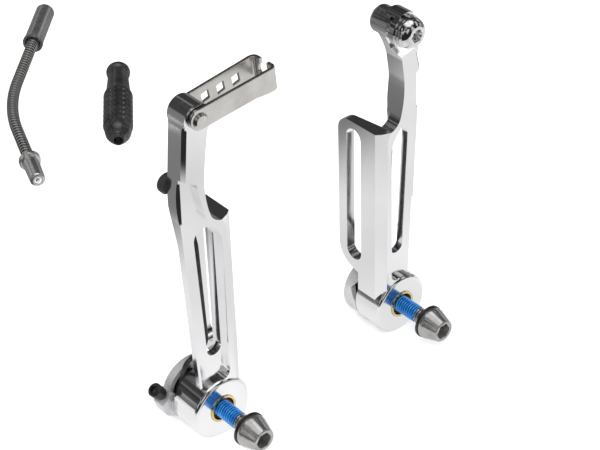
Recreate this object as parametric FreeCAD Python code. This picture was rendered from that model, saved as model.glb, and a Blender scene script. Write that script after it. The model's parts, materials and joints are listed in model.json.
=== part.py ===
"""Linear-pull rim brake set: two polished arms, their pivot hardware, a cable guide pipe and its boot.

Millimetres. X runs from the left arm to the right arm, +Y runs back to the frame or fork, +Z is up.
The origin is on the left pivot axis, in the plane where both brake posts enter.
Each arm is drawn in its own frame: u points towards the other arm, and the pivot is at u = z = 0.
"""
import FreeCAD, Part
import math
import os

V = FreeCAD.Vector
os.makedirs("parts", exist_ok=True)

# Brake posts and pivots
PIVOT_SPACING = 80.0
POST_DIAMETER = 8.0
BUSHING_DIAMETER = 10.0
RUNNING_CLEARANCE = 0.05
STACK_DEPTH = 18.5
BUSHING_PROUD = 0.3
COUNTERBORE = (8.4, 4.0)

# Planes of the arm, measured back from the front face of its hub
FRONT = -STACK_DEPTH
RIDGE_FACE = FRONT + 0.7
FLOOR_FACE = FRONT + 2.9
PLATE_BACK = FRONT + 5.6
NECK_BACK = FRONT + 8.0
HUB_BACK = FRONT + 11.8
HOUSING_FRONT = FRONT + 12.1
PAD_PLATE_BACK = FRONT + 21.2

# Arm outline, in u and z
HUB_RADIUS = 11.0
HUB_EDGE_FILLET = 1.4
PAD_FACE = 9.8
PAD_PLATE_TOP = 72.6
PAD_PLATE_BOTTOM = 12.8
RIDGE_INNER = 6.5
RIDGE_OUTER = 4.3
STEP_Z = 90.5
RECESS_FILLET = 3.0
NECK_CHAMFER = 1.1
FLOOR_CHAMFER = 0.6

# Slot through the front plate
WINDOW_INNER = 3.0
WINDOW_BOTTOM = 21.0
WINDOW_TOP = 71.0
WINDOW_LOW_RADIUS = 2.8
WINDOW_HIGH_RADIUS = 3.7

# Slot that takes the brake pad's stud
PAD_SLOT_WIDTH = 7.0
PAD_SLOT_BOTTOM = 17.2
PAD_SLOT_TOP = 70.0
PAD_SLOT_CENTRE = FRONT + 13.7

# Tops of the arms
LINK_PIN = (-1.5, 111.2)
LINK_BOSS_RADIUS = 4.8
RIVET_DIAMETER = 3.4
RIVET_HEAD_RADIUS = 2.5
ANCHOR = (2.9, 110.9)
ANCHOR_BOSS_RADIUS = 4.6
BOSS_FRONT = FRONT + 0.6
LEDGE_DEPTH = 4.9
ANCHOR_HEX_FLATS = 4.0

# Pivot bolt, M6 with a tapered head, shown partly screwed in
BOLT_DIAMETER = 5.9
BOLT_TIP = FRONT + 3.4
WASHER_BACK = FRONT - 12.8
WASHER_DIAMETER = 11.9
WASHER_BORE = 6.4
WASHER_THICKNESS = 0.8
HEAD_DIAMETER = 11.4
HEAD_NOSE_DIAMETER = 8.2
HEAD_LENGTH = 7.2
HEX_FLATS = 5.0
PATCH_LENGTH = 11.0

# Spring housing, spring and tension screw
HOUSING_RADIUS = 11.0
HOUSING_WALL = 1.8
HOUSING_FLOOR = 1.5
SPRING_WIRE = 1.6
SPRING_RADIUS = 6.8
SPRING_PITCH = 1.75
SPRING_TURNS = 2
CATCH = (-7.6, 87.4)
CATCH_RADIUS = 3.3
SCREW_HEAD = V(-14.4, FRONT + 16.2, 5.5)
SCREW_AXIS = V(0.58, 0.0, -0.81)
SCREW_HEAD_RADIUS = 2.4
SCREW_SHAFT_RADIUS = 1.25
LUG_SPAN = (FRONT + 13.4, 0.0)

# Stamped link
LINK_SHEET = 1.2
LINK_OUTSIDE = (FRONT - 1.0, FRONT + 10.0)
LINK_REACH = 29.4
LINK_RISE = 5.0
LINK_FRONT_STRAP = (3.7, -3.1)
LINK_BACK_STRAP = (2.5, -4.3)
LINK_END = (3.7, -3.9)
LINK_BEND = 2.2
GUIDE_SEAT_DIAMETER = 5.2
GUIDE_GAP = 3.2

# Cable guide pipe and boot, laid level
PIPE_LEVEL = 90.0
PIPE_START = V(7.6, 83.9, PIPE_LEVEL)
PIPE_HEADING = -135.0
PIPE_RUNS = (25.5, 17.7)
PIPE_BEND_RADIUS = 70.0
PIPE_BEND_ANGLE = 23.7
PIPE_DIAMETER = 3.7
PIPE_BORE = 2.4
LINER_DIAMETER = 2.2
LINER_BORE = 1.5
FERRULE_LENGTH = 21.0
FERRULE_DIAMETER = 6.3
CABLE_SEAT = (5.1, 15.0)
TIP_LENGTH = 11.4
BOOT_START = V(26.9, 64.1, 80.0)
BOOT_HEADING = -126.0
BOOT_RIBS = 7
BOOT_RIB_PITCH = 2.85


def outline_face(outline, place):
    """Flat face from an outline of points; a pair of points is an arc through the first to the second."""
    start = place(*outline[0])
    first = start
    edges = []
    for entry in outline[1:] + [outline[0]]:
        if isinstance(entry[0], tuple):
            end = place(*entry[1])
            edges.append(Part.Arc(start, place(*entry[0]), end).toShape())
        else:
            end = place(*entry)
            if end.distanceToPoint(start) > 1e-6:
                edges.append(Part.LineSegment(start, end).toShape())
        start = end
    return Part.Face(Part.Wire(edges))


def prism(outline, y0, y1):
    """Solid across Y from an outline in u and z."""
    return outline_face(outline, lambda u, z: V(u, y0, z)).extrude(V(0, y1 - y0, 0))


def side_prism(outline, u0, u1):
    """Solid across u from an outline in y and z."""
    return outline_face(outline, lambda y, z: V(u0, y, z)).extrude(V(u1 - u0, 0, 0))


def plan_prism(outline, z0, z1):
    """Solid across Z from an outline in u and y."""
    return outline_face(outline, lambda u, y: V(u, y, z0)).extrude(V(0, 0, z1 - z0))


def bar(radius, y0, y1, u=0.0, z=0.0):
    """Cylinder along Y."""
    return Part.makeCylinder(radius, y1 - y0, V(u, y0, z), V(0, 1, 0))


def turned(profile, start, direction):
    """Turned solid from (distance along the axis, radius) points, set on the axis through start."""
    section = outline_face(profile, lambda along, radius: V(radius, 0, along))
    solid = section.revolve(V(0, 0, 0), V(0, 0, 1), 360)
    solid.Placement = FreeCAD.Placement(start, FreeCAD.Rotation(V(0, 0, 1), direction))
    return solid


def hex_socket(flats, depth, start, direction):
    """Hexagonal hole, with the cone its drill leaves at the bottom."""
    corner = flats / math.sqrt(3)
    angles = [math.radians(60 * i) for i in range(7)]
    ring = [V(corner * math.cos(angle), corner * math.sin(angle), 0) for angle in angles]
    hole = Part.Face(Part.makePolygon(ring)).extrude(V(0, 0, depth))
    hole = hole.fuse(Part.makeCone(flats / 2, 0, flats / 4, V(0, 0, depth)))
    hole.Placement = FreeCAD.Placement(start, FreeCAD.Rotation(V(0, 0, 1), direction))
    return hole


def heading_vector(degrees):
    return V(math.cos(math.radians(degrees)), math.sin(math.radians(degrees)), 0)


def fuse(shapes):
    return shapes[0].multiFuse(shapes[1:]).removeSplitter()


def mirrored(shape):
    """The same piece on the other side of the wheel."""
    copy = shape.mirror(V(0, 0, 0), V(1, 0, 0))
    copy.translate(V(PIVOT_SPACING, 0, 0))
    return copy


def save(name, shape):
    solid = shape.Solids[0] if len(shape.Solids) == 1 else shape
    solid.exportStep("parts/%s.step" % name)
    report = (name, solid.Volume, len(shape.Solids), solid.isValid())
    print("%-22s volume %9.1f  solids %d  valid %s" % report)


def save_pair(name, shape):
    save("left_" + name, shape)
    save("right_" + name, mirrored(shape))


def outer_edge(z):
    """u of the arm's outer edge, which leans outwards towards the top."""
    return -5.6 - 0.042 * z


OUTER_SIDE = [(outer_edge(76), 76), ((-8.95, 84), (-8.4, STEP_Z))]
INNER_SIDE = [(-0.4, STEP_Z), ((-0.3, 82.5), (0.9, 76.4))]


def front_plate():
    outline = [(outer_edge(0), 0)] + OUTER_SIDE + INNER_SIDE + [
        ((2.4, 74.0), (5.0, PAD_PLATE_TOP)),
        (PAD_FACE, PAD_PLATE_TOP),
        (PAD_FACE, 0),
    ]
    return prism(outline, RIDGE_FACE, PLATE_BACK)


def neck(top):
    """Thicker block behind the top of the front plate; top is its outline above the step."""
    outline = [(outer_edge(66), 66)] + OUTER_SIDE + top + INNER_SIDE + [(1.2, 66)]
    slope = [(PLATE_BACK - 0.1, 65), (PLATE_BACK - 0.1, 66), (NECK_BACK, 80.5), (NECK_BACK + 1, 80.5),
             (NECK_BACK + 1, 65)]
    return prism(outline, RIDGE_FACE, NECK_BACK).cut(side_prism(slope, -20, 20))


def pad_plate():
    """Plate that carries the brake pad, thicker towards the front plate."""
    profile = [
        (RIDGE_FACE, 0),
        (RIDGE_FACE, PAD_PLATE_TOP),
        (PAD_PLATE_BACK - 5.0, PAD_PLATE_TOP),
        ((PAD_PLATE_BACK - 1.46, PAD_PLATE_TOP - 1.46), (PAD_PLATE_BACK, PAD_PLATE_TOP - 5.0)),
        (PAD_PLATE_BACK, 21.5),
        ((PAD_PLATE_BACK - 2.4, 15.6), (PAD_PLATE_BACK - 7.5, PAD_PLATE_BOTTOM)),
        (HUB_BACK, PAD_PLATE_BOTTOM - 0.6),
        (HUB_BACK, 0),
    ]
    hollow = [(-1, PLATE_BACK), (4.8, PLATE_BACK), (7.0, PAD_PLATE_BACK + 1), (-1, PAD_PLATE_BACK + 1)]
    corner = [(-1, 60), (5.0, 60), (5.0, 80), (-1, 80)]
    plate = side_prism(profile, 0, PAD_FACE).cut(plan_prism(hollow, -1, 80))
    return plate.cut(prism(corner, FRONT - 1, PLATE_BACK + 0.01))


def bevel():
    """Removes the corner between the ridge and the pad face."""
    outline = [
        (RIDGE_INNER, RIDGE_FACE),
        (RIDGE_INNER, FRONT - 2),
        (PAD_FACE + 2, FRONT - 2),
        (PAD_FACE + 2, FRONT + 4.9),
    ]
    return plan_prism(outline, -1, 90)


def half_space(point, normal):
    """Large block beyond the plane through point, on the side that normal points to."""
    block = Part.makeBox(60, 60, 60, V(-30, -30, 0))
    block.Placement = FreeCAD.Placement(point, FreeCAD.Rotation(V(0, 0, 1), normal))
    return block


def facet():
    """Slanted cut across the top end of the ridge."""
    near = Part.makeBox(12, 8, 16, V(0, FRONT - 2, 62))
    return half_space(V(6.6, FRONT + 0.7, 69.9), V(0.363, -0.904, 0.224)).common(near)


def recess():
    """Lowered panel around the slot, open to the arm's outer side and rounded into the hub's boss."""
    centre = V(RIDGE_OUTER - RECESS_FILLET, 0, 0)
    centre.z = math.sqrt((HUB_RADIUS + RECESS_FILLET) ** 2 - centre.x ** 2)
    touch = centre * (HUB_RADIUS / centre.Length)
    corner = V(RIDGE_OUTER, 0, 9.6) - centre
    middle = centre + corner * (RECESS_FILLET / corner.Length)
    outline = [
        (-14, 0),
        (-14, STEP_Z + 4.9),
        (-3.4, STEP_Z - 1.4),
        (-1.5, 79.0),
        ((-0.4, 74.6), (1.9, 71.0)),
        ((3.8, 68.4), (RIDGE_OUTER + 0.5, 65.3)),
        (RIDGE_OUTER, 22),
        (RIDGE_OUTER, centre.z),
        ((middle.x, middle.z), (touch.x, touch.z)),
        (touch.x, 0),
    ]
    return prism(outline, FRONT - 2, FLOOR_FACE)


def window():
    """Tapered slot with round ends."""
    low = V(WINDOW_INNER - WINDOW_LOW_RADIUS, 0, WINDOW_BOTTOM + WINDOW_LOW_RADIUS)
    high = V(WINDOW_INNER - WINDOW_HIGH_RADIUS, 0, WINDOW_TOP - WINDOW_HIGH_RADIUS)
    outline = [
        (WINDOW_INNER, low.z),
        (WINDOW_INNER, high.z),
        ((high.x, WINDOW_TOP), (high.x - WINDOW_HIGH_RADIUS, high.z)),
        (low.x - WINDOW_LOW_RADIUS, low.z),
        ((low.x, WINDOW_BOTTOM), (WINDOW_INNER, low.z)),
    ]
    return prism(outline, FRONT - 3, PLATE_BACK + 0.5)


def pad_slot():
    half = PAD_SLOT_WIDTH / 2
    low = PAD_SLOT_BOTTOM + half
    high = PAD_SLOT_TOP - half
    outline = [
        (PAD_SLOT_CENTRE + half, low),
        (PAD_SLOT_CENTRE + half, high),
        ((PAD_SLOT_CENTRE, PAD_SLOT_TOP), (PAD_SLOT_CENTRE - half, high)),
        (PAD_SLOT_CENTRE - half, low),
        ((PAD_SLOT_CENTRE, PAD_SLOT_BOTTOM), (PAD_SLOT_CENTRE + half, low)),
    ]
    return side_prism(outline, 3.2, PAD_FACE + 2)


def rim_edges(shape, y):
    """Circular edges that lie in the plane at y."""
    return [e for e in shape.Edges if abs(e.BoundBox.YMin - y) < 0.01 and abs(e.BoundBox.YMax - y) < 0.01]


def edge_chamfer(low, high, face, size):
    """Wedge off an outer front edge between two points in u and z; face is the y of the front surface."""
    edge = V(high[0] - low[0], 0, high[1] - low[1]).normalize()
    outward = V(-edge.z, 0, edge.x)
    start = V(low[0], face, low[1]) - outward * size
    near = Part.makeBox(12, 4, high[1] - low[1], V(-14, face - 2, low[1]))
    return half_space(start, outward - V(0, 1, 0)).common(near)


def arm(top, boss):
    blank = fuse([front_plate(), neck(top), pad_plate()])
    blank = blank.cut(bevel()).cut(facet()).cut(recess())
    step = OUTER_SIDE[1][1]
    shoulder = OUTER_SIDE[0]
    blank = blank.cut(edge_chamfer(step, top[0], RIDGE_FACE, NECK_CHAMFER))
    blank = blank.cut(edge_chamfer(shoulder, step, FLOOR_FACE, FLOOR_CHAMFER))
    blank = blank.cut(edge_chamfer((outer_edge(0), 0), shoulder, FLOOR_FACE, FLOOR_CHAMFER))
    hub = bar(HUB_RADIUS, FRONT, HUB_BACK)
    hub = hub.makeFillet(HUB_EDGE_FILLET, rim_edges(hub, FRONT))
    body = fuse([blank, hub, boss]).cut(window()).cut(pad_slot())
    body = body.cut(bar(BUSHING_DIAMETER / 2 + RUNNING_CLEARANCE, FRONT - 2, HUB_BACK + 2))
    catch_hole = bar(1.05, NECK_BACK - 4.1, NECK_BACK + 1, CATCH[0], CATCH[1])
    return body.cut(catch_hole)


def left_arm():
    u, z = LINK_PIN
    top = [
        (-6.45, 109.0),
        ((-6.35, 110.6), (u - LINK_BOSS_RADIUS, z)),
        (u + LINK_BOSS_RADIUS, z),
        ((3.0, 108.0), (1.9, 105.6)),
        (0.5, 97.5),
    ]
    boss = bar(LINK_BOSS_RADIUS, BOSS_FRONT - 0.1, NECK_BACK + 0.5, u, z)
    return arm(top, boss).cut(bar(RIVET_DIAMETER / 2 + 0.02, FRONT - 2, 0, u, z))


def anchor_ledge():
    """Sloped ledge below the anchor boss: a block above a tilted plane through the neck's front corner."""
    block = half_space(V(0.6, RIDGE_FACE, 98.6), V(0.267, -0.459, 0.848))
    return block.common(Part.makeBox(40, 20, 40, V(-20, FRONT + LEDGE_DEPTH - 20, 90)))


def right_arm():
    u, z = ANCHOR
    top = [
        (-6.5, 98.5),
        ((-5.2, 104.6), (u - ANCHOR_BOSS_RADIUS, z)),
        (u + ANCHOR_BOSS_RADIUS, z),
        ((3.6, 105.0), (0.6, 97.5)),
    ]
    boss = bar(ANCHOR_BOSS_RADIUS, BOSS_FRONT + 0.4, NECK_BACK + 1.0, u, z)
    boss = boss.makeFillet(1.2, rim_edges(boss, NECK_BACK + 1.0))
    body = arm(top, boss).cut(anchor_ledge())
    body = fuse([body, boss])
    return body.cut(bar(BOLT_DIAMETER / 2 + RUNNING_CLEARANCE, FRONT - 5, 0, u, z))


def pivot_bushing():
    tube = bar(BUSHING_DIAMETER / 2, FRONT - BUSHING_PROUD, 0)
    tube = tube.cut(bar(POST_DIAMETER / 2, FRONT - 1, 1))
    return tube.cut(bar(COUNTERBORE[0] / 2, FRONT - 1, FRONT + COUNTERBORE[1]))


def spring_housing():
    """Cup behind the arm's hub, with openings for the spring's leg and a lug for the tension screw."""
    cup = bar(HOUSING_RADIUS, HOUSING_FRONT, 0)
    rear = rim_edges(cup, 0)
    cup = cup.makeFillet(0.8, rear)
    leg_gap = prism([(0, 0), (-2.0, 15), (-15, 15), (-15, 1.5)], HOUSING_FRONT - 1, FRONT + 15.0)
    notch = side_prism([(HOUSING_FRONT - 1, -2.2), (HOUSING_FRONT - 1, 10.2), (FRONT + 15.0, 4.0)], 4, 14)
    cup = cup.cut(leg_gap).cut(notch)
    lug_top = SCREW_HEAD + SCREW_AXIS * 4.1
    side = V(0.81, 0.0, 0.58)
    outer = lug_top - side * 3.2
    inner = lug_top + side * 2.9
    front, back = LUG_SPAN
    lug = prism([(outer.x, outer.z), (inner.x, inner.z), (-6, -2), (-6.5, -8.9), (-12.9, -4.2)], front, back)
    upright = [e for e in lug.Edges if abs(e.BoundBox.YLength - back + front) < 0.01 and e.BoundBox.XMax < -9]
    lug = lug.makeFillet(1.0, upright)
    body = fuse([cup, lug])
    body = body.cut(bar(HOUSING_RADIUS - HOUSING_WALL, HOUSING_FRONT - 1, -HOUSING_FLOOR))
    body = body.cut(bar(BUSHING_DIAMETER / 2 + RUNNING_CLEARANCE, HOUSING_FRONT - 1, 1))
    screw_hole = Part.makeCylinder(SCREW_SHAFT_RADIUS + RUNNING_CLEARANCE, 14, SCREW_HEAD, SCREW_AXIS)
    return body.cut(screw_hole)


def spring_coil():
    """Return spring's coil, one closed ring for each turn."""
    rings = []
    for i in range(SPRING_TURNS):
        centre = V(0, -HOUSING_FLOOR - SPRING_WIRE / 2 - 0.25 - SPRING_PITCH * i, 0)
        rings.append(Part.makeTorus(SPRING_RADIUS, SPRING_WIRE / 2, centre, V(0, 1, 0)))
    return Part.makeCompound(rings)


def bent_line(points, radius):
    """Wire through the first and last points, with each corner between them rounded by an arc."""
    edges = []
    start = points[0]
    for before, corner, after in zip(points, points[1:], points[2:]):
        back = (before - corner).normalize()
        ahead = (after - corner).normalize()
        half = back.getAngle(ahead) / 2
        reach = radius / math.tan(half)
        entry = corner + back * reach
        leave = corner + ahead * reach
        inward = (back + ahead).normalize()
        middle = corner + inward * (radius / math.sin(half) - radius)
        edges.append(Part.LineSegment(start, entry).toShape())
        edges.append(Part.Arc(entry, middle, leave).toShape())
        start = leave
    edges.append(Part.LineSegment(start, points[-1]).toShape())
    return Part.Wire(edges)


def spring_leg():
    """Leg of the return spring, up behind the arm to the catch."""
    path = [
        V(-6.3, FRONT + 13.3, 6.2),
        V(-4.6, FRONT + 12.7, 13.5),
        V(0.5, FRONT + 7.2, 22.5),
        V(-0.7, FRONT + 7.2, 62.0),
        V(-2.2, FRONT + 9.3, 79.0),
        V(-3.2, FRONT + 9.3, 91.0),
    ]
    section = Part.Wire(Part.makeCircle(SPRING_WIRE / 2, path[0], path[1] - path[0]))
    return bent_line(path, 9.0).makePipeShell([section], True, True)


def spring_catch():
    """Knob behind the neck that holds the spring's leg."""
    profile = [(-4.0, 0), (-4.0, 1.0), (0.2, 1.0), (0.2, 2.7), (0.7, CATCH_RADIUS), (2.2, CATCH_RADIUS),
               (2.7, 2.8), (2.7, 0)]
    return turned(profile, V(CATCH[0], NECK_BACK, CATCH[1]), V(0, 1, 0))


def tension_block():
    """Collar that travels with the tension screw."""
    bore = SCREW_SHAFT_RADIUS + RUNNING_CLEARANCE
    profile = [(1.6, bore), (1.6, 2.2), (2.8, 2.2), (2.8, bore)]
    return turned(profile, SCREW_HEAD, SCREW_AXIS)


def tension_screw():
    profile = [(-1.6, 0), (-1.6, 2.0), (-1.2, SCREW_HEAD_RADIUS), (1.5, SCREW_HEAD_RADIUS),
               (1.5, SCREW_SHAFT_RADIUS), (6.7, SCREW_SHAFT_RADIUS), (7.0, 1.0), (7.0, 0)]
    screw = turned(profile, SCREW_HEAD, SCREW_AXIS)
    return screw.cut(hex_socket(2.5, 1.5, SCREW_HEAD - SCREW_AXIS * 1.7, SCREW_AXIS))


def bolt_washer():
    ring = bar(WASHER_DIAMETER / 2, WASHER_BACK - WASHER_THICKNESS, WASHER_BACK)
    return ring.cut(bar(WASHER_BORE / 2, WASHER_BACK - 2, WASHER_BACK + 1))


def pivot_bolt():
    radius = BOLT_DIAMETER / 2
    head = HEAD_DIAMETER / 2
    nose = HEAD_NOSE_DIAMETER / 2
    length = BOLT_TIP - WASHER_BACK + WASHER_THICKNESS
    groove = length - PATCH_LENGTH - 1.0
    profile = [
        (-HEAD_LENGTH, 0),
        (-HEAD_LENGTH, nose - 0.5),
        ((0.15 - HEAD_LENGTH, nose - 0.15), (0.5 - HEAD_LENGTH, nose)),
        (-1.6, head),
        (-0.3, head),
        (0, head - 0.3),
        (0, radius),
        (groove, radius),
        (groove, radius - 0.45),
        (length - 1.0, radius - 0.45),
        (length - 1.0, radius - 0.1),
        (length, radius - 0.9),
        (length, 0),
    ]
    seat = V(0, WASHER_BACK - WASHER_THICKNESS - 0.03, 0)
    bolt = turned(profile, seat, V(0, 1, 0))
    return bolt.cut(hex_socket(HEX_FLATS, 3.6, seat - V(0, HEAD_LENGTH + 0.1, 0), V(0, 1, 0)))


def thread_patch():
    """Sleeve of dried thread locker around the bolt."""
    end = BOLT_TIP - 1.05
    sleeve = bar(BOLT_DIAMETER / 2, end - PATCH_LENGTH + 0.1, end)
    return sleeve.cut(bar(BOLT_DIAMETER / 2 - 0.42, end - PATCH_LENGTH, end + 1))


def link():
    """Folded strip, U-shaped in plan, hinged on the left arm."""
    front, back = LINK_OUTSIDE
    inner = LINK_BEND - LINK_SHEET
    knee = LINK_REACH - LINK_BEND
    tilt = math.sqrt(0.5)
    plan = [
        (-6, front),
        (knee, front),
        ((knee + LINK_BEND * tilt, front + LINK_BEND * (1 - tilt)), (LINK_REACH, front + LINK_BEND)),
        (LINK_REACH, back - LINK_BEND),
        ((knee + LINK_BEND * tilt, back - LINK_BEND * (1 - tilt)), (knee, back)),
        (-6, back),
        (-6, back - LINK_SHEET),
        (knee, back - LINK_SHEET),
        ((knee + inner * tilt, back - LINK_BEND + inner * tilt), (knee + inner, back - LINK_BEND)),
        (knee + inner, front + LINK_BEND),
        ((knee + inner * tilt, front + LINK_BEND - inner * tilt), (knee, front + LINK_SHEET)),
        (-6, front + LINK_SHEET),
    ]
    middle = (front + back) / 2
    straps = []
    for (top, bottom), y0, y1 in ((LINK_FRONT_STRAP, front - 1, middle), (LINK_BACK_STRAP, middle, back + 1)):
        side = [
            (0, top),
            (LINK_REACH + 1, LINK_END[0]),
            (LINK_REACH + 1, LINK_END[1]),
            (LINK_REACH - 4, LINK_END[1]),
            (LINK_REACH - 9, bottom),
            (0, bottom),
            (((bottom - top) / 2, (top + bottom) / 2), (0, top)),
        ]
        straps.append(prism(side, y0, y1))
    strip = plan_prism(plan, -8, 8).common(fuse(straps))
    seat = Part.makeCylinder(GUIDE_SEAT_DIAMETER / 2, 8, V(knee - 2, middle, -0.2), V(1, 0, 0))
    gap = Part.makeBox(8, GUIDE_GAP, 8, V(knee - 2, middle - GUIDE_GAP / 2, 0))
    strip = strip.cut(seat).cut(gap).cut(bar(RIVET_DIAMETER / 2 + RUNNING_CLEARANCE, front - 1, back + 1))
    for i in range(3):
        left = 8.2 + 5.75 * i
        opening = [(left, -2.8), (left + 2.8, -2.3), (left + 2.6, 0.8), (left - 0.2, 0.3)]
        strip = strip.cut(prism(opening, back - 3, back + 1))
    rise = FreeCAD.Rotation(V(0, 1, 0), -LINK_RISE)
    strip.Placement = FreeCAD.Placement(V(LINK_PIN[0], 0, LINK_PIN[1]), rise)
    return strip


def link_rivet():
    front, back = LINK_OUTSIDE
    radius = RIVET_DIAMETER / 2
    profile = [
        (-0.9, 0),
        (-0.9, RIVET_HEAD_RADIUS - 0.6),
        (-0.35, RIVET_HEAD_RADIUS),
        (-0.03, RIVET_HEAD_RADIUS),
        (-0.03, radius),
        (back - front + 0.03, radius),
        (back - front + 0.03, RIVET_HEAD_RADIUS - 0.2),
        (back - front + 0.7, RIVET_HEAD_RADIUS - 0.8),
        (back - front + 0.7, 0),
    ]
    return turned(profile, V(LINK_PIN[0], front, LINK_PIN[1]), V(0, 1, 0))


def anchor_washer():
    """Washer that clamps the cable, with a tab hooked over the boss so that it cannot turn."""
    u, z = ANCHOR
    inner = ANCHOR_BOSS_RADIUS + 0.25
    outer = inner + 1.3
    plate = bar(5.6, FRONT - 3.2, FRONT - 1.2, u, z)
    rise = math.sqrt(0.75)
    lip = [(u - inner / 2, z + inner * rise), ((u, z + inner), (u + inner / 2, z + inner * rise)),
           (u + outer / 2, z + outer * rise), ((u, z + outer), (u - outer / 2, z + outer * rise))]
    tab = prism(lip, FRONT - 3.2, FRONT + 3.0)
    return fuse([plate, tab]).cut(bar(3.2, FRONT - 5, FRONT + 3, u, z))


def anchor_bolt():
    radius = BOLT_DIAMETER / 2
    profile = [
        (-4.9, 0),
        (-4.9, 3.1),
        ((-3.6, 4.5), (-1.2, 5.0)),
        (-1.2, 5.2),
        (-0.4, 5.2),
        (0, 4.8),
        (0, radius),
        (11.0, radius),
        (11.6, radius - 0.6),
        (11.6, 0),
    ]
    seat = V(ANCHOR[0], FRONT - 3.23, ANCHOR[1])
    bolt = turned(profile, seat, V(0, 1, 0))
    return bolt.cut(hex_socket(ANCHOR_HEX_FLATS, 2.8, seat - V(0, 5.0, 0), V(0, 1, 0)))


def pipe_line():
    """Centre line of the guide pipe: straight, one bend, straight. Returns wire, end and last heading."""
    first = heading_vector(PIPE_HEADING)
    bend_start = PIPE_START + first * PIPE_RUNS[0]
    centre = bend_start + heading_vector(PIPE_HEADING + 90) * PIPE_BEND_RADIUS
    spoke = PIPE_HEADING - 90
    bend_middle = centre + heading_vector(spoke + PIPE_BEND_ANGLE / 2) * PIPE_BEND_RADIUS
    bend_end = centre + heading_vector(spoke + PIPE_BEND_ANGLE) * PIPE_BEND_RADIUS
    last = PIPE_HEADING + PIPE_BEND_ANGLE
    end = bend_end + heading_vector(last) * PIPE_RUNS[1]
    edges = [
        Part.LineSegment(PIPE_START, bend_start).toShape(),
        Part.Arc(bend_start, bend_middle, bend_end).toShape(),
        Part.LineSegment(bend_end, end).toShape(),
    ]
    return Part.Wire(edges), end, heading_vector(last)


def pipe(diameter, bore):
    """Tube along the guide pipe's centre line."""
    spine = pipe_line()[0]
    tubes = []
    for size in (diameter, bore):
        ring = Part.Wire(Part.makeCircle(size / 2, PIPE_START, heading_vector(PIPE_HEADING)))
        tubes.append(spine.makePipeShell([ring], True, True))
    return tubes[0].cut(tubes[1])


def noodle_ferrule():
    """Sleeve that takes the end of the cable housing and grips the pipe."""
    outer = FERRULE_DIAMETER / 2
    grip = PIPE_DIAMETER / 2 + 0.02
    seat, depth = CABLE_SEAT
    profile = [
        (-FERRULE_LENGTH, seat / 2),
        (-FERRULE_LENGTH, outer - 0.3),
        (0.3 - FERRULE_LENGTH, outer),
        (-0.9, outer),
        (-0.3, outer + 0.2),
        (0.5, outer + 0.2),
        (0.5, grip + 0.7),
        (-0.6, grip),
        (-4.0, grip),
        (-4.0, LINER_DIAMETER / 2),
        (depth - FERRULE_LENGTH, LINER_DIAMETER / 2),
        (depth - FERRULE_LENGTH, seat / 2),
    ]
    return turned(profile, PIPE_START, heading_vector(PIPE_HEADING))


def noodle_tip():
    """Flanged end piece that seats in the link."""
    grip = PIPE_DIAMETER / 2 + 0.02
    profile = [
        (-0.8, grip),
        (-0.8, 2.9),
        (-0.4, 3.3),
        (0.6, 3.3),
        (0.9, 3.0),
        (0.9, 2.5),
        (TIP_LENGTH - 0.9, 2.3),
        ((TIP_LENGTH - 0.3, 2.1), (TIP_LENGTH, 1.6)),
        (TIP_LENGTH, LINER_DIAMETER / 2 + 0.02),
        (0.1, LINER_DIAMETER / 2 + 0.02),
        (0.1, grip),
    ]
    line, end, heading = pipe_line()
    return turned(profile, end, heading)


def noodle_liner():
    """Plastic liner from the ferrule to the end of the tip."""
    line, end, heading = pipe_line()
    inner = pipe(LINER_DIAMETER - 0.04, LINER_BORE)
    tail = Part.makeCylinder(LINER_DIAMETER / 2 - 0.02, TIP_LENGTH - 0.2, end, heading)
    return fuse([inner, tail.cut(Part.makeCylinder(LINER_BORE / 2, TIP_LENGTH, end, heading))])


def rubber_boot():
    """Hollow boot: beaded mouth, smooth neck, ribbed grip and a small nozzle."""
    outer = [(0.4, 3.5), ((1.6, 4.0), (2.8, 3.6)), (3.6, 3.4), (15.6, 4.15)]
    for i in range(BOOT_RIBS):
        start = 16.0 + BOOT_RIB_PITCH * i
        outer.append((start, 4.3))
        outer.append(((start + BOOT_RIB_PITCH / 2, 4.75), (start + BOOT_RIB_PITCH - 0.2, 4.3)))
    outer += [((39.2, 3.9), (40.8, 2.5)), (41.8, 2.15), (43.0, 2.05)]
    inner = [(43.0, 1.4), (40.2, 1.4), (36.6, 3.3), (16.0, 3.2), (9.0, 2.6), (0.4, 2.6)]
    return turned(outer + inner, BOOT_START, heading_vector(BOOT_HEADING))


save("left_arm", left_arm())
save("right_arm", mirrored(right_arm()))
save_pair("pivot_bushing", pivot_bushing())
save_pair("spring_housing", spring_housing())
save_pair("spring_coil", spring_coil())
save_pair("spring_leg", spring_leg())
save_pair("spring_catch", spring_catch())
save_pair("tension_block", tension_block())
save_pair("tension_screw", tension_screw())
save_pair("bolt_washer", bolt_washer())
save_pair("pivot_bolt", pivot_bolt())
save_pair("thread_patch", thread_patch())
save("noodle_link", link())
save("link_rivet", link_rivet())
save("anchor_washer", mirrored(anchor_washer()))
save("anchor_bolt", mirrored(anchor_bolt()))
save("noodle_ferrule", noodle_ferrule())
save("noodle_coil", pipe(PIPE_DIAMETER, PIPE_BORE))
save("noodle_liner", noodle_liner())
save("noodle_tip", noodle_tip())
save("rubber_boot", rubber_boot())
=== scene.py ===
"""Looks for the rim brake set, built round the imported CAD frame. Metres, in the CAD's own axes."""
import json
import math

import bmesh
import bpy
from mathutils import Matrix, Vector


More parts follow.
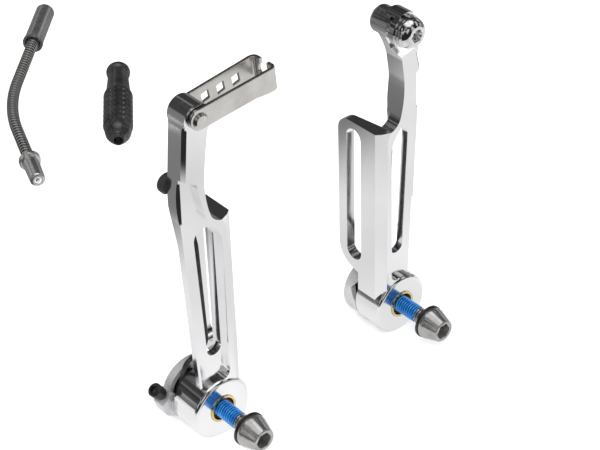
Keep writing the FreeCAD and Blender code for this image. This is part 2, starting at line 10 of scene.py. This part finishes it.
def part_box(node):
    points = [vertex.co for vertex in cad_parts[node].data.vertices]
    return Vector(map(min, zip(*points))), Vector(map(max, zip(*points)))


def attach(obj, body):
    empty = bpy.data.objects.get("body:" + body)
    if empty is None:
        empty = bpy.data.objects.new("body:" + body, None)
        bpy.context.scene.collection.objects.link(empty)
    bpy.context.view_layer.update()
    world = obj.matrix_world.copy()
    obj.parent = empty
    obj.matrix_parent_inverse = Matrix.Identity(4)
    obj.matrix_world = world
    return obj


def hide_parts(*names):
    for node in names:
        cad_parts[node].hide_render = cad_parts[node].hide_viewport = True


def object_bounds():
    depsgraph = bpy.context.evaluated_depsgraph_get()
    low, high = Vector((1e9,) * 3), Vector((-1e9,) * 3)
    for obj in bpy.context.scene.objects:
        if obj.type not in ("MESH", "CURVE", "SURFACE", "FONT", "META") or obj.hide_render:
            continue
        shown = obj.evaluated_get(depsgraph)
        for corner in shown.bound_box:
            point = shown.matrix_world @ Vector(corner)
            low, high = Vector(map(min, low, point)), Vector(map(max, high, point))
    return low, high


MM = 0.001
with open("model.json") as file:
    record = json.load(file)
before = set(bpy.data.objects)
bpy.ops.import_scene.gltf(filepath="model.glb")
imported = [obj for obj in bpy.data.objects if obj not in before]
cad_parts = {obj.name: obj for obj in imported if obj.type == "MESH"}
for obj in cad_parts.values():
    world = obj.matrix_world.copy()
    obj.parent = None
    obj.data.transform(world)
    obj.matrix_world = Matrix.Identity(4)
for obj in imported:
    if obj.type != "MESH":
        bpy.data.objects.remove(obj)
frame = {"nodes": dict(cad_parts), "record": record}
NODES = frame["nodes"]
CAD_BOUNDS = [list(corner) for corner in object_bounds()]

# Camera, fitted to the photograph with the brake posts taken as 80 mm apart and the arms as upright
CAMERA_PLACE = (-0.2393, -0.3469, 0.3663)
CAMERA_RIGHT = Vector((0.7513, -0.6596, -0.0206))
CAMERA_BACK = Vector((-0.5169, -0.6075, 0.6031))
CAMERA_LENS = 100.6
CAMERA_SHIFT = (-0.0226, 0.0559)

# White area under the object that its polished faces mirror
CARD_CORNERS = ((-0.10, -0.80), (0.60, 0.10))
CARD_FADE = 0.05
CARD_GRAIN = 11
CARD_TONES = (0.66, 0.97)

# How far the floor and the card lie under the object, and half the floor's width
FLOOR_GAP = 0.0005
CARD_GAP = 0.0002
FLOOR_HALF = 1.5
FLOOR_CELLS = 6

# What polished metal mirrors of the studio. VIEW_LEVEL is the camera's direction made level. The heights are
# the upward share of the direction looked in, given as the start and the end of a change.
VIEW_LEVEL = (0.648, 0.762, 0.0)
WALL_TURN = (-0.5, 0.2)
WALL_TONES = (0.02, 0.2)
WALL_HEIGHTS = (0.35, -0.1)
WALL_TOP_SHARE = 0.15
CLOUD_SCALE = 2.6
CLOUD_EDGE = (0.46, 0.66)
CLOUD_TONE = 0.6
CLOUD_HEIGHTS = (0.0, 0.25)
CEILING_HEIGHTS = (0.80, 0.96)
CEILING_TONE = 1.1
STUDIO_TONE = 1.05

# Name, place, aim, size and watts of each light
LIGHTS = (
    ("key", (-0.5, -0.5, 0.9), (0.03, 0, 0.04), (0.5, 0.5), 7),
    ("strip_left", (-0.9, 0.15, 0.25), (0.03, 0, 0.05), (0.25, 0.5), 3),
    ("strip_right", (0.75, -0.55, 0.45), (0.03, 0, 0.05), (0.2, 0.5), 3),
)

# Lengths and radii from here on are in millimetres
# Pivot bolt. Distances along it run back, +Y, from the face of its head that seats on the washer
BOLT_HEAD = 7.2
BOLT_BARE = 5.0
BOLT_PATCH = 11.0
SOCKET_FLATS = 5.0
SOCKET_MOUTH_FLATS = 5.5
SOCKET_FLOOR = ((-3.9, 0), (-4.1, 1.2), (-4.35, 2.45))
SOCKET_BOTTOM = -4.35
SOCKET_TOP = -6.85
SOCKET_MOUTH = -7.1
NECK_OUTLINE = ((0, 2.87), (0.45, 2.82))
THREAD_START = 0.75
TIP_THREAD = 0.5
TIP_MAJOR = 2.75
TIP_MINOR = 2.4
TIP_LENGTH = 1.0
TIP_RADIUS = 2.05
THREAD_MAJOR = 2.97
THREAD_MINOR = 2.42
THREAD_PITCH = 1.0
THREAD_STEPS_PER_TURN = 10
THREAD_FLANK = 3.6
THREAD_CREST = 1.35
PATCH_THICKNESS = 0.03
PATCH_BORE = 2.41
SHANK_UNDER_PATCH = 2.38
SHANK_STEP = 0.1
PATCH_SHIFT = 0.05
PATCH_ROOT = 0.02
# Painted shade: the crest value given to the whole head, which darkens the bolt's colour there to about 0.6
# of itself
HEAD_PAINTED_SHADE = 0.52
HEAD_EDGE = 0.3
BOLT_SIDES = 48
HEAD_OUTLINE = (
    (-7.16, 3.3), (-7.2, 3.5), (-7.16, 3.8), (-7.0, 3.98), (-6.75, 4.1), (-1.75, 5.6), (-1.6, 5.7),
    (-0.3, 5.7), (-0.06, 5.6), (0, 5.4),
)

# Return spring
SPRING_RADIUS = 6.8
SPRING_WIRE = 0.8
SPRING_TURNS = 2.1
SPRING_PITCH = 1.75
SPRING_BACK = -2.4
SPRING_LEG_ANGLE = 135
SPRING_STEPS_PER_TURN = 40
SPRING_SIDES = 12

# Guide pipe, laid level: straight, bend, straight
PIPE_START = Vector((7.6, 83.9, 90.0))
PIPE_HEADING = -135.0
PIPE_RUNS = (25.5, 17.7)
PIPE_BEND_RADIUS = 70.0
PIPE_BEND = 23.7
PIPE_RADIUS = 1.85
COIL_BORE = 1.2
COIL_PITCH = 1.45
COIL_STEPS_PER_TURN = 10
COIL_SIDES = 32
COIL_GROOVE = 0.5
# Painted shade between the coil's turns: how fast the crest value falls away from the middle of each turn, so
# the gaps are darkened
COIL_PAINTED_SHADE = 1.3

# Arms and link, in degrees and metres: what counts as flat, what counts as an edge, the most that the
# link's edges are rounded over, and how near two points are joined
FLAT_ANGLE = 0.6
SHARP_ANGLE = 14
LINK_ROUNDING = 0.00022
JOIN_DISTANCE = 0.000002

# Boot
BOOT_START = Vector((26.9, 64.1, 80.0))
BOOT_HEADING = -126.0
BOOT_RIB_START = 16.0
BOOT_RIB_PITCH = 2.85
BOOT_RIBS = 7
BOOT_STEPS_PER_RIB = 10
BOOT_SIDES = 96
GRIP_RADIUS = 4.2
RIB_HEIGHT = 0.62
FLAT_HEIGHT = 0.16
FLAT_SPREAD = 0.26
GROOVE_DEPTH = 0.22
GROOVE_ANGLE = 0.42
GROOVE_SPREAD = 0.12


def heading_vector(degrees):
    return Vector((math.cos(math.radians(degrees)), math.sin(math.radians(degrees)), 0))


# ---------------------------------------------------------------- materials

class Nodes:
    """Small helper that adds shader nodes and links them."""

    def __init__(self, tree):
        self.tree = tree
        tree.nodes.clear()

    def add(self, kind, values=None, **settings):
        node = self.tree.nodes.new(kind)
        for key, value in settings.items():
            setattr(node, key, value)
        for key, value in (values or {}).items():
            if isinstance(value, bpy.types.NodeSocket):
                self.tree.links.new(value, node.inputs[key])
            else:
                node.inputs[key].default_value = value
        return node

    def noise(self, scale, detail=3.0, roughness=0.55, stretch=(1, 1, 1)):
        place = self.add("ShaderNodeTexCoord").outputs["Object"]
        spread = self.add("ShaderNodeMapping", {"Vector": place, "Scale": stretch})
        values = {"Vector": spread.outputs[0], "Scale": scale, "Detail": detail, "Roughness": roughness}
        return self.add("ShaderNodeTexNoise", values).outputs["Fac"]

    def spread(self, value, low, high, start=0.3, end=0.7):
        values = {"Value": value, "From Min": start, "From Max": end, "To Min": low, "To Max": high}
        return self.add("ShaderNodeMapRange", values).outputs["Result"]

    def fade(self, value, start, end, low=0.0, high=1.0):
        """Like spread, but with an even start and end to the change."""
        values = {"Value": value, "From Min": start, "From Max": end, "To Min": low, "To Max": high}
        node = self.add("ShaderNodeMapRange", values, interpolation_type="SMOOTHSTEP")
        return node.outputs["Result"]

    def combine(self, operation, first, second):
        return self.add("ShaderNodeMath", {0: first, 1: second}, operation=operation).outputs[0]

    def ramp(self, value, low, high, start=0.3, end=0.7):
        node = self.add("ShaderNodeValToRGB", {"Fac": value})
        node.color_ramp.elements[0].position = start
        node.color_ramp.elements[1].position = end
        node.color_ramp.elements[0].color = (*low, 1)
        node.color_ramp.elements[1].color = (*high, 1)
        return node.outputs["Color"]

    def bump(self, height, distance, strength=0.3):
        values = {"Height": height, "Distance": distance, "Strength": strength}
        return self.add("ShaderNodeBump", values).outputs["Normal"]


def finish(name, low, high, rough, grain, bump, metallic=1.0, stretch=(1, 1, 1), wear=None, groove=None,
           **constants):
    """Material whose colour, roughness and surface vary with noise.

    low and high are the two colours, rough the two roughnesses, grain the noise scale per metre,
    bump the height in metres and wear the scale of the slow change across the piece. With groove, painted
    shade darkens the colour to that share of itself between the ridges of a piece that carries the crest
    attribute.
    """
    material = bpy.data.materials.new(name)
    material.use_nodes = True
    n = Nodes(material.node_tree)
    fine = n.noise(grain, 4.0, 0.6, stretch)
    slow = n.noise(wear or grain / 12, 2.0)
    colour = n.ramp(slow, low, high)
    if groove is not None:
        # Painted shade: the colour is darkened between the ridges, standing in for the shade that falls in
        # the grooves
        crest = n.add("ShaderNodeAttribute", attribute_name="crest").outputs["Fac"]
        share = n.spread(crest, groove, 1.0, 0.1, 0.9)
        colour = n.add("ShaderNodeVectorMath", {0: colour, "Scale": share}, operation="SCALE").outputs[0]
    values = {
        "Base Color": colour,
        "Roughness": n.spread(fine, *rough),
        "Metallic": metallic,
        "Normal": n.bump(fine, bump),
    }
    values.update(constants)
    shader = n.add("ShaderNodeBsdfPrincipled", values)
    n.add("ShaderNodeOutputMaterial", {"Surface": shader.outputs[0]})
    return material


MATERIALS = {
    "polished_aluminium": finish(
        "polished_aluminium", (0.90, 0.90, 0.915), (0.97, 0.97, 0.975), (0.09, 0.17), 900, 0.000004,
        stretch=(1, 1, 0.12), wear=45),
    "cast_grey": finish(
        "cast_grey", (0.50, 0.50, 0.51), (0.68, 0.68, 0.69), (0.24, 0.40), 1600, 0.00003,
        metallic=0.6, wear=120),
    "stainless": finish(
        "stainless", (0.62, 0.60, 0.57), (0.74, 0.72, 0.69), (0.16, 0.30), 700, 0.000006,
        stretch=(0.08, 1, 1), wear=140),
    "chrome": finish(
        "chrome", (0.74, 0.74, 0.75), (0.88, 0.88, 0.88), (0.05, 0.12), 1200, 0.000003, wear=260),
    "gold_bushing": finish(
        "gold_bushing", (0.62, 0.47, 0.20), (0.86, 0.72, 0.40), (0.18, 0.32), 1500, 0.00001, wear=300),
    # groove paints shade between the ridges of the thread locker
    "blue_thread_locker": finish(
        "blue_thread_locker", (0.01, 0.16, 0.56), (0.04, 0.34, 0.88), (0.14, 0.26), 1400, 0.00001,
        metallic=0.35, wear=420, groove=0.22, **{"Coat Weight": 0.6, "Coat Roughness": 0.12}),
    "black_steel": finish(
        "black_steel", (0.012, 0.012, 0.014), (0.045, 0.045, 0.05), (0.24, 0.42), 1500, 0.00001,
        metallic=0.55, wear=320),
    "black_plastic": finish(
        "black_plastic", (0.010, 0.010, 0.011), (0.028, 0.028, 0.030), (0.38, 0.55), 1500, 0.00002,
        metallic=0.0, wear=220),
    "ferrule_steel": finish(
        "ferrule_steel", (0.60, 0.60, 0.61), (0.72, 0.72, 0.73), (0.22, 0.30), 400, 0.000001,
        metallic=0.96, wear=100),
    "white_liner": finish(
        "white_liner", (0.62, 0.65, 0.68), (0.80, 0.82, 0.84), (0.35, 0.50), 900, 0.00001,
        metallic=0.0, wear=200),
    "boot_rubber": finish(
        "boot_rubber", (0.007, 0.007, 0.008), (0.022, 0.022, 0.024), (0.20, 0.34), 1500, 0.00009,
        metallic=0.0, wear=180, **{"Specular IOR Level": 1.0}),
}
# groove paints shade in the gaps between the guide coil's turns
COIL_STEEL = finish(
    "coil_wire_steel", (0.82, 0.81, 0.79), (0.94, 0.93, 0.91), (0.14, 0.24), 1500, 0.000006,
    metallic=0.94, wear=200, groove=0.06)
TIP_STEEL = finish(
    "tip_steel", (0.72, 0.72, 0.71), (0.88, 0.88, 0.87), (0.18, 0.28), 1500, 0.000004,
    metallic=0.97, wear=240)
# groove paints shade between the bolt's thread ridges
BOLT_STEEL = finish(
    "bolt_steel", (0.62, 0.61, 0.60), (0.82, 0.81, 0.80), (0.10, 0.20), 1300, 0.000004,
    metallic=0.9, wear=260, groove=0.15)

for part in frame["record"]["subparts"]:
    for slot in NODES[part["node"]].material_slots:
        slot.material = MATERIALS[part["material_slot"]]
for slot in NODES["noodle_tip"].material_slots:
    slot.material = TIP_STEEL


# ---------------------------------------------------------------- mesh helpers

def make_piece(name, verts, faces, material, body, node, sharp=35, crest=None):
    mesh = bpy.data.meshes.new(name)
    mesh.from_pydata([v * MM for v in verts], [], faces)
    if crest:
        mesh.attributes.new("crest", "FLOAT", "POINT").data.foreach_set("value", crest)
    mesh.validate()
    mesh.materials.append(material)
    mesh.shade_smooth()
    mesh.set_sharp_from_angle(angle=math.radians(sharp))
    piece = bpy.data.objects.new(name, mesh)
    bpy.context.scene.collection.objects.link(piece)
    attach(piece, body)
    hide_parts(node)
    return piece


def turned(rows, start, axis, around, loop=False):
    """Verts and faces of a turned skin. Each row is a distance along the axis and a radius, or a function
    that gives the radius at an angle. A zero radius closes an end; loop joins the last row to the first."""
    axis = axis.normalized()
    side = Vector((0, 0, 1)).cross(axis)
    side = side.normalized() if side.length > 0.1 else Vector((1, 0, 0))
    up = axis.cross(side)
    verts, rings, faces = [], [], []
    for along, radius in rows:
        centre = start + axis * along
        if not callable(radius) and radius == 0:
            rings.append([len(verts)] * around)
            verts.append(centre)
            continue
        ring = []
        for i in range(around):
            angle = 2 * math.pi * i / around
            reach = radius(angle) if callable(radius) else radius
            ring.append(len(verts))
            verts.append(centre + (side * math.cos(angle) + up * math.sin(angle)) * reach)
        rings.append(ring)
    pairs = list(zip(rings, rings[1:]))
    if loop:
        pairs.append((rings[-1], rings[0]))
    for low, high in pairs:
        for i in range(around):
            j = (i + 1) % around
            corners = [low[i], low[j], high[j], high[i]]
            faces.append(list(dict.fromkeys(corners)))
    return verts, faces


def tube(points, radius, sides):
    """Verts and faces of a round wire along points, closed at both ends."""
    verts, faces = [], []
    before = (points[1] - points[0]).normalized()
    side = before.orthogonal().normalized()
    for i, point in enumerate(points):
        ahead = (points[min(i + 1, len(points) - 1)] - points[max(i - 1, 0)]).normalized()
        side = (before.rotation_difference(ahead) @ side).normalized()
        before = ahead
        up = ahead.cross(side)
        for k in range(sides):
            angle = 2 * math.pi * k / sides
            verts.append(point + (side * math.cos(angle) + up * math.sin(angle)) * radius)
    for i in range(len(points) - 1):
        for k in range(sides):
            a, b = i * sides + k, i * sides + (k + 1) % sides
            faces.append([a, b, b + sides, a + sides])
    faces.append(list(range(sides))[::-1])
    last = (len(points) - 1) * sides
    faces.append(list(range(last, last + sides)))
    return verts, faces


def hexagon(flats):
    """Radius of a hexagon at an angle."""
    return lambda angle: flats / 2 / math.cos((angle % (math.pi / 3)) - math.pi / 6)


def thread_crest(verts, seat, top):
    """How far each point of a threaded piece stands out of the groove, from 0 to 1, which the materials turn
    into painted shade between the ridges. The head, before top, has one even value that paints it darker all
    over."""
    crest = []
    for vert in verts:
        out = math.hypot(vert.x - seat.x, vert.z - seat.z)
        height = (out - THREAD_MINOR) / (THREAD_MAJOR - THREAD_MINOR)
        crest.append(HEAD_PAINTED_SHADE if vert.y < top else max(0.0, min(1.0, height)))
    return crest


def thread_row(along, major, minor):
    """Radius of a screw thread's section at one distance along its axis."""
    def radius(angle):
        phase = (along / THREAD_PITCH - angle / (2 * math.pi)) % 1.0
        height = max(0.0, min(1.0, THREAD_CREST - abs(phase - 0.5) * THREAD_FLANK))
        return minor + (major - minor) * height
    return radius


def thread_rows(start, end, major, minor):
    """Rows of a screw thread from start to end, for turned()."""
    steps = max(2, round((end - start) / THREAD_PITCH * THREAD_STEPS_PER_TURN))
    spots = [start + (end - start) * i / steps for i in range(steps + 1)]
    return [(spot, thread_row(spot, major, minor)) for spot in spots]


# ---------------------------------------------------------------- pivot bolts

def build_pivot_bolt(side):
    """Bolt with its tapered head and cut thread, and the sleeve of dried thread locker on the thread."""
    low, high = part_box(side + "_pivot_bolt")
    seat = Vector(((low.x + high.x) / 2, low.y, (low.z + high.z) / 2)) / MM
    seat.y += BOLT_HEAD
    axis = Vector((0, 1, 0))
    socket = hexagon(SOCKET_FLATS)
    patch_end = BOLT_BARE + BOLT_PATCH
    rows = [*SOCKET_FLOOR, (SOCKET_BOTTOM, socket), (SOCKET_TOP, socket)]
    rows += [(SOCKET_MOUTH, hexagon(SOCKET_MOUTH_FLATS)), *HEAD_OUTLINE, *NECK_OUTLINE]
    rows += thread_rows(THREAD_START, BOLT_BARE, THREAD_MAJOR, THREAD_MINOR)
    rows += [(BOLT_BARE + SHANK_STEP, SHANK_UNDER_PATCH), (patch_end - SHANK_STEP, SHANK_UNDER_PATCH)]
    rows += thread_rows(patch_end, patch_end + TIP_THREAD, TIP_MAJOR, TIP_MINOR)
    rows += [(patch_end + TIP_LENGTH, TIP_RADIUS), (patch_end + TIP_LENGTH, 0)]
    verts, faces = turned(rows, seat, axis, BOLT_SIDES)
    make_piece(side + "_bolt_threaded", verts, faces, BOLT_STEEL, side + "_pivot_bolt",
               side + "_pivot_bolt", crest=thread_crest(verts, seat, seat.y + HEAD_EDGE))
    first, last = BOLT_BARE - PATCH_SHIFT, patch_end - PATCH_SHIFT
    rows = thread_rows(first, last, THREAD_MAJOR + PATCH_THICKNESS, THREAD_MINOR + PATCH_ROOT)
    rows += [(last, PATCH_BORE), (first, PATCH_BORE)]
    verts, faces = turned(rows, seat, axis, BOLT_SIDES, loop=True)
    make_piece(side + "_thread_locker", verts, faces, MATERIALS["blue_thread_locker"], side + "_pivot_bolt",
               side + "_thread_patch", crest=thread_crest(verts, seat, seat.y))


# ---------------------------------------------------------------- springs

def build_spring(side):
    """Wound coil of the return spring inside its housing."""
    low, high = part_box(side + "_spring_coil")
    centre = Vector(((low.x + high.x) / 2, 0, (low.z + high.z) / 2)) / MM
    hand = 1 if side == "left" else -1
    steps = round(SPRING_TURNS * SPRING_STEPS_PER_TURN)
    points = []
    for i in range(steps + 1):
        angle = math.radians(SPRING_LEG_ANGLE) - 2 * math.pi * SPRING_TURNS * (1 - i / steps)
        drop = SPRING_PITCH * (SPRING_TURNS - 1) * i / steps
        points.append(centre + Vector((hand * SPRING_RADIUS * math.cos(angle), SPRING_BACK - drop,
                                       SPRING_RADIUS * math.sin(angle))))
    verts, faces = tube(points, SPRING_WIRE, SPRING_SIDES)
    make_piece(side + "_spring_wound", verts, faces, MATERIALS["black_steel"], "pivot_hardware",
               side + "_spring_coil")


# ---------------------------------------------------------------- guide pipe

def pipe_place(distance):
    """Centre and heading of the guide pipe at a distance along it."""
    first, last = PIPE_RUNS
    arc = PIPE_BEND_RADIUS * math.radians(PIPE_BEND)
    ahead = heading_vector(PIPE_HEADING)
    if distance < first:
        return PIPE_START + ahead * distance, ahead
    bend_start = PIPE_START + ahead * first
    centre = bend_start + heading_vector(PIPE_HEADING + 90) * PIPE_BEND_RADIUS
    turn = math.degrees(min(distance - first, arc) / PIPE_BEND_RADIUS)
    point = centre + heading_vector(PIPE_HEADING - 90 + turn) * PIPE_BEND_RADIUS
    ahead = heading_vector(PIPE_HEADING + turn)
    return point + ahead * max(0.0, distance - first - arc), ahead


def build_coil():
    """Skin of the wire wound tightly along the guide pipe: round ridges outside, plain bore inside."""
    length = sum(PIPE_RUNS) + PIPE_BEND_RADIUS * math.radians(PIPE_BEND)
    steps, around = round(length / COIL_PITCH * COIL_STEPS_PER_TURN), COIL_SIDES
    up = Vector((0, 0, 1))
    verts, faces, crest = [], [], []
    for i in range(steps + 1):
        along = length * i / steps
        centre, ahead = pipe_place(along)
        side = ahead.cross(up)
        for outside in (True, False):
            for k in range(around):
                angle = 2 * math.pi * k / around
                phase = (along / COIL_PITCH - k / around) % 1.0
                ridge = 1 - math.sqrt(max(0.0, 1 - (2 * phase - 1) ** 2))
                reach = PIPE_RADIUS - COIL_GROOVE * ridge if outside else COIL_BORE
                # Crest value for the painted shade: bright on each turn, darkest in the gap between turns
                crest.append(max(0.0, 1 - COIL_PAINTED_SHADE * abs(2 * phase - 1)))
                verts.append(centre + (side * math.cos(angle) + up * math.sin(angle)) * reach)
    for i in range(steps):
        for k in range(around):
            a, b = 2 * i * around + k, 2 * i * around + (k + 1) % around
            faces.append([b, a, a + 2 * around, b + 2 * around])
            c, d = a + around, b + around
            faces.append([c, d, d + 2 * around, c + 2 * around])
    for row in (0, 2 * steps * around):
        for k in range(around):
            a, b = row + k, row + (k + 1) % around
            end = [a, b, b + around, a + around]
            faces.append(end if row == 0 else end[::-1])
    make_piece("noodle_wound_coil", verts, faces, COIL_STEEL, "pivot_hardware", "noodle_coil",
               sharp=75, crest=crest)


# ---------------------------------------------------------------- boot

# Distance from the mouth and radius: the rolled lip and plain neck, then the nose and the way back inside
BOOT_NECK = [
    (0.0, 3.05), (0.15, 3.5), (0.6, 3.85), (1.2, 4.0), (1.9, 3.95), (2.5, 3.7), (3.0, 3.45), (3.6, 3.4),
    (6.0, 3.5), (9.0, 3.68), (12.0, 3.86), (14.5, 4.05), (16.0, 4.25),
]
BOOT_NOSE = [
    (36.6, 4.35), (37.8, 4.3), (39.0, 4.05), (40.0, 3.6), (40.7, 3.0), (41.1, 2.5), (41.4, 2.22),
    (42.0, 2.1), (42.7, 2.05), (42.95, 1.9), (43.0, 1.65), (42.9, 1.42),
]
BOOT_INSIDE = [(42.0, 1.38), (40.2, 1.4), (36.6, 3.2), (16.0, 3.1), (9.0, 2.6), (0.5, 2.6)]


def ribbed(along):
    """Radius of the boot's grip: rounded ribs, broken by a flat line along the top and the bottom, with a
    groove on each side of it."""
    phase = (along - BOOT_RIB_START) / BOOT_RIB_PITCH
    rib = math.sin(math.pi * (phase % 1.0)) ** 0.7

    def radius(angle):
        off = math.asin(min(1.0, abs(math.cos(angle))))
        flat = math.exp(-(off / FLAT_SPREAD) ** 2)
        groove = math.exp(-((off - GROOVE_ANGLE) / GROOVE_SPREAD) ** 2)
        return GRIP_RADIUS + RIB_HEIGHT * rib * (1 - flat) + FLAT_HEIGHT * flat - GROOVE_DEPTH * groove
    return radius


def build_boot():
    """Rubber boot as one closed skin, with its inside."""
    rows = list(BOOT_NECK)
    steps = BOOT_RIBS * BOOT_STEPS_PER_RIB
    for i in range(1, steps + 1):
        along = BOOT_RIB_START + BOOT_RIB_PITCH * BOOT_RIBS * i / steps
        rows.append((along, ribbed(along)))
    rows += BOOT_NOSE + BOOT_INSIDE
    verts, faces = turned(rows, BOOT_START, heading_vector(BOOT_HEADING), BOOT_SIDES, loop=True)
    make_piece("boot_ribbed", verts, faces, MATERIALS["boot_rubber"], "pivot_hardware", "rubber_boot",
               sharp=60)


# ---------------------------------------------------------------- softened edges

def build_softened(node, body, slot, width=0):
    """Copy of a CAD node, smooth over its curves. With a width, its edges are rounded over by up to that."""
    work = bmesh.new()
    work.from_mesh(NODES[node].data)
    bmesh.ops.remove_doubles(work, verts=work.verts, dist=JOIN_DISTANCE)
    bmesh.ops.dissolve_limit(work, angle_limit=math.radians(FLAT_ANGLE), verts=work.verts, edges=work.edges)
    mesh = bpy.data.meshes.new(node + "_softened")
    work.to_mesh(mesh)
    work.free()
    mesh.materials.clear()
    mesh.materials.append(MATERIALS[slot])
    piece = bpy.data.objects.new(node + "_softened", mesh)
    bpy.context.scene.collection.objects.link(piece)
    mesh.shade_smooth()
    if width:
        bevel = piece.modifiers.new("edges", "BEVEL")
        bevel.width = width
        bevel.segments = 2
        bevel.limit_method = "ANGLE"
        bevel.angle_limit = math.radians(SHARP_ANGLE)
        bevel.use_clamp_overlap = True
    else:
        mesh.set_sharp_from_angle(angle=math.radians(SHARP_ANGLE))
    flat = piece.modifiers.new("normals", "WEIGHTED_NORMAL")
    flat.weight = 100
    flat.keep_sharp = True
    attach(piece, body)
    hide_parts(node)


for name in ("left", "right"):
    build_softened(name + "_arm", name + "_arm", "polished_aluminium")
build_softened("noodle_link", "noodle_link", "stainless", LINK_ROUNDING)

for name in ("left", "right"):
    build_pivot_bolt(name)
    build_spring(name)
build_coil()
build_boot()


# ---------------------------------------------------------------- stage, lights and camera

def build_floor():
    """White paper under the object, with a faint grain."""
    level = CAD_BOUNDS[0][2] - FLOOR_GAP
    edge = [FLOOR_HALF * (2 * i / FLOOR_CELLS - 1) for i in range(FLOOR_CELLS + 1)]
    verts = [(x, y, level) for y in edge for x in edge]
    faces = []
    for j in range(FLOOR_CELLS):
        for i in range(FLOOR_CELLS):
            a = j * (FLOOR_CELLS + 1) + i
            b = a + FLOOR_CELLS + 1
            faces.append((a, a + 1, b + 1, b))
    mesh = bpy.data.meshes.new("floor")
    mesh.from_pydata(verts, [], faces)
    material = bpy.data.materials.new("floor_paper")
    material.use_nodes = True
    n = Nodes(material.node_tree)
    grain = n.noise(30, 4.0)
    values = {"Base Color": n.ramp(grain, (0.93, 0.93, 0.93), (0.96, 0.96, 0.96)), "Roughness": 0.9,
              "Specular IOR Level": 0.1, "Normal": n.bump(grain, 0.0002, 0.1)}
    shader = n.add("ShaderNodeBsdfPrincipled", values)
    n.add("ShaderNodeOutputMaterial", {"Surface": shader.outputs[0]})
    mesh.materials.append(material)
    floor = bpy.data.objects.new("floor", mesh)
    bpy.context.scene.collection.objects.link(floor)
    floor.visible_glossy = False


def build_world():
    """Pale studio. In reflections it is dark with soft lighter areas overhead, so that polished metal has
    contrast."""
    world = bpy.data.worlds.new("studio")
    world.use_nodes = True
    bpy.context.scene.world = world
    n = Nodes(world.node_tree)
    direction = n.add("ShaderNodeTexCoord").outputs["Generated"]
    height = n.add("ShaderNodeSeparateXYZ", {"Vector": direction}).outputs["Z"]
    inward = n.add("ShaderNodeVectorMath", {0: direction, 1: VIEW_LEVEL}, operation="DOT_PRODUCT")
    wall = n.fade(inward.outputs["Value"], *WALL_TURN, *WALL_TONES)
    wall = n.combine("MULTIPLY", wall, n.fade(height, *WALL_HEIGHTS, WALL_TOP_SHARE, 1.0))
    values = {"Vector": direction, "Scale": CLOUD_SCALE, "Detail": 1.0}
    clouds = n.add("ShaderNodeTexNoise", values).outputs["Fac"]
    soft = n.combine("MULTIPLY", n.fade(clouds, *CLOUD_EDGE, 0.0, CLOUD_TONE), n.fade(height, *CLOUD_HEIGHTS))
    overhead = n.combine("ADD", soft, n.fade(height, *CEILING_HEIGHTS, 0.0, CEILING_TONE))
    mirrored = n.combine("ADD", wall, overhead)
    glossy = n.add("ShaderNodeLightPath").outputs["Is Glossy Ray"]
    mix = n.add("ShaderNodeMix", {"Factor": glossy, "A": STUDIO_TONE, "B": mirrored}, data_type="FLOAT")
    background = n.add("ShaderNodeBackground", {"Color": (1, 1, 1, 1), "Strength": mix.outputs[0]})
    n.add("ShaderNodeOutputWorld", {"Surface": background.outputs[0]})


def build_card():
    """White table top that only reflections see, fading out at its edges."""
    level = CAD_BOUNDS[0][2] - CARD_GAP
    low, high = CARD_CORNERS
    outline = ((low[0], low[1]), (high[0], low[1]), (high[0], high[1]), (low[0], high[1]))
    mesh = bpy.data.meshes.new("reflector_card")
    mesh.from_pydata([(x, y, level) for x, y in outline], [], [(0, 1, 2, 3)])
    material = bpy.data.materials.new("card_glow")
    material.use_nodes = True
    n = Nodes(material.node_tree)
    place = n.add("ShaderNodeTexCoord").outputs["Generated"]
    across = n.add("ShaderNodeSeparateXYZ", {"Vector": place})
    glow = None
    for axis, name in enumerate("XY"):
        fade = CARD_FADE / (high[axis] - low[axis])
        for edge in (0.0, 1.0):
            part = n.fade(across.outputs[name], edge, abs(edge - fade))
            glow = part if glow is None else n.combine("MULTIPLY", glow, part)
    tone = n.spread(n.noise(CARD_GRAIN, 1.0), *CARD_TONES)
    light = n.add("ShaderNodeEmission", {"Color": (1, 1, 1, 1), "Strength": tone})
    clear = n.add("ShaderNodeBsdfTransparent")
    mix = n.add("ShaderNodeMixShader", {0: glow, 1: clear.outputs[0], 2: light.outputs[0]})
    n.add("ShaderNodeOutputMaterial", {"Surface": mix.outputs[0]})
    mesh.materials.append(material)
    card = bpy.data.objects.new("reflector_card", mesh)
    bpy.context.scene.collection.objects.link(card)
    card.visible_camera = False
    card.visible_diffuse = False
    card.visible_shadow = False


def build_light(name, place, aim, size, power):
    """Area light that reflections don't see."""
    light = bpy.data.lights.new(name, "AREA")
    light.shape = "RECTANGLE"
    light.size, light.size_y = size
    light.energy = power
    lamp = bpy.data.objects.new(name, light)
    lamp.location = place
    lamp.rotation_mode = "QUATERNION"
    lamp.rotation_quaternion = (Vector(aim) - Vector(place)).to_track_quat("-Z", "Y")
    lamp.visible_glossy = False
    bpy.context.scene.collection.objects.link(lamp)


def build_camera():
    data = bpy.data.cameras.new("camera")
    data.sensor_width = 36
    data.lens = CAMERA_LENS
    data.shift_x, data.shift_y = CAMERA_SHIFT
    data.clip_start, data.clip_end = 0.01, 20
    camera = bpy.data.objects.new("camera", data)
    back = CAMERA_BACK.normalized()
    right = (CAMERA_RIGHT - back * CAMERA_RIGHT.dot(back)).normalized()
    up = back.cross(right)
    camera.matrix_world = Matrix.Translation(CAMERA_PLACE) @ Matrix((right, up, back)).transposed().to_4x4()
    bpy.context.scene.collection.objects.link(camera)
    bpy.context.scene.camera = camera


build_floor()
build_card()
build_world()
for light in LIGHTS:
    build_light(*light)
build_camera()
bpy.context.scene.view_settings.view_transform = "Standard"
